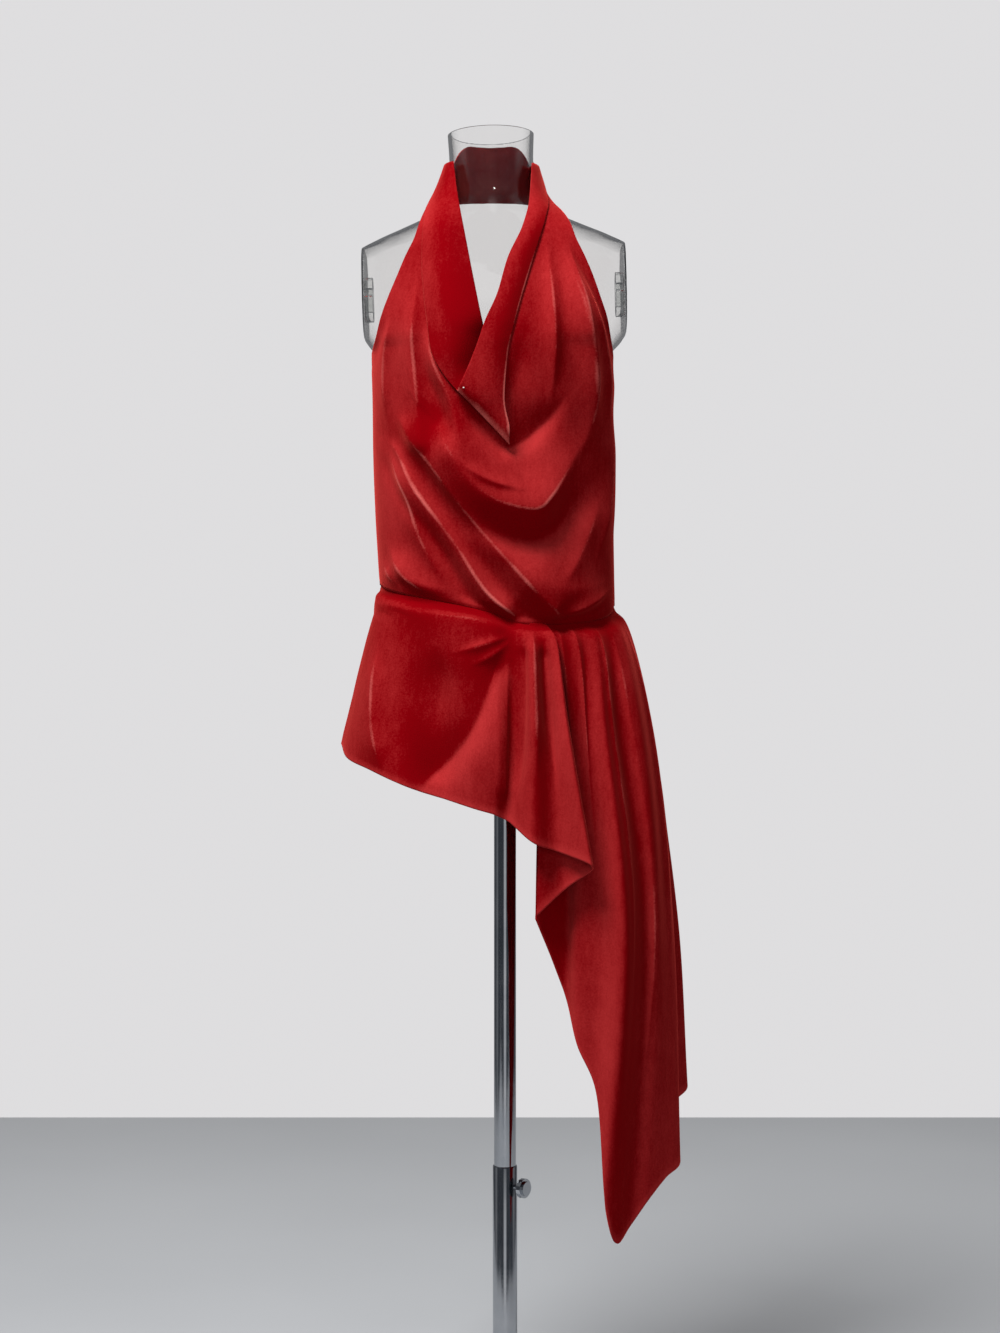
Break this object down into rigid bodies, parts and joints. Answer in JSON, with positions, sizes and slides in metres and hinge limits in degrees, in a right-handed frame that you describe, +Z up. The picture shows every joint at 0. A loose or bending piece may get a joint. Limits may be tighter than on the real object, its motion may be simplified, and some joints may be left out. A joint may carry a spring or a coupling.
{
  "type": "halter neck top on a dress form stand",
  "caption": "Velvet halter neck top with a draped cowl, slanting peplum and long side drape, on a clear dress form with a chrome telescopic stand.",
  "frame": {"origin": "on the floor under the middle of the round base, on the axis of the pole", "axes": "+Z up along the pole, the front of the top faces -Y, the wearer's left side is at +X"},
  "size_m": [0.474, 0.34, 1.7983],
  "materials": {
    "velvet": "deep red stretch velvet with a short pile that catches the light on the folds",
    "form_clear": "clear polished acrylic, 3 mm thick",
    "stand_chrome": "bright chrome plated steel tube and fittings",
    "zip_metal": "small nickel plated zip pull"
  },
  "bodies": {
    "stand": {"base_plate": "stand_chrome", "base_hub": "stand_chrome", "lower_tube": "stand_chrome"},
    "knob": {"clamp_knob": "stand_chrome"},
    "mast": {"upper_pole": "stand_chrome"},
    "form": {"form_socket": "stand_chrome", "form_plate": "form_clear", "form_shell": "form_clear", "arm_fitting_right": "form_clear", "arm_fitting_left": "form_clear", "halter_front": "velvet", "cowl_band": "velvet", "neck_band": "velvet", "back_bodice": "velvet", "side_zip_pull": "zip_metal", "front_peplum": "velvet", "side_drape": "velvet", "back_peplum": "velvet"}
  },
  "joints": [
    {"name": "mast_slide", "type": "slide", "parent": "stand", "child": "mast", "axis": [0, 0, 1], "range_m": [-0.18, 0.12]},
    {"name": "form_turn", "type": "hinge", "parent": "mast", "child": "form", "pos_m": [0, 0, 1], "axis": [0, 0, 1], "continuous": true},
    {"name": "knob_turn", "type": "hinge", "parent": "stand", "child": "knob", "pos_m": [0.02396, -0.01805, 0.38], "axis": [0.7986, -0.6018, 0], "continuous": true}
  ]
}
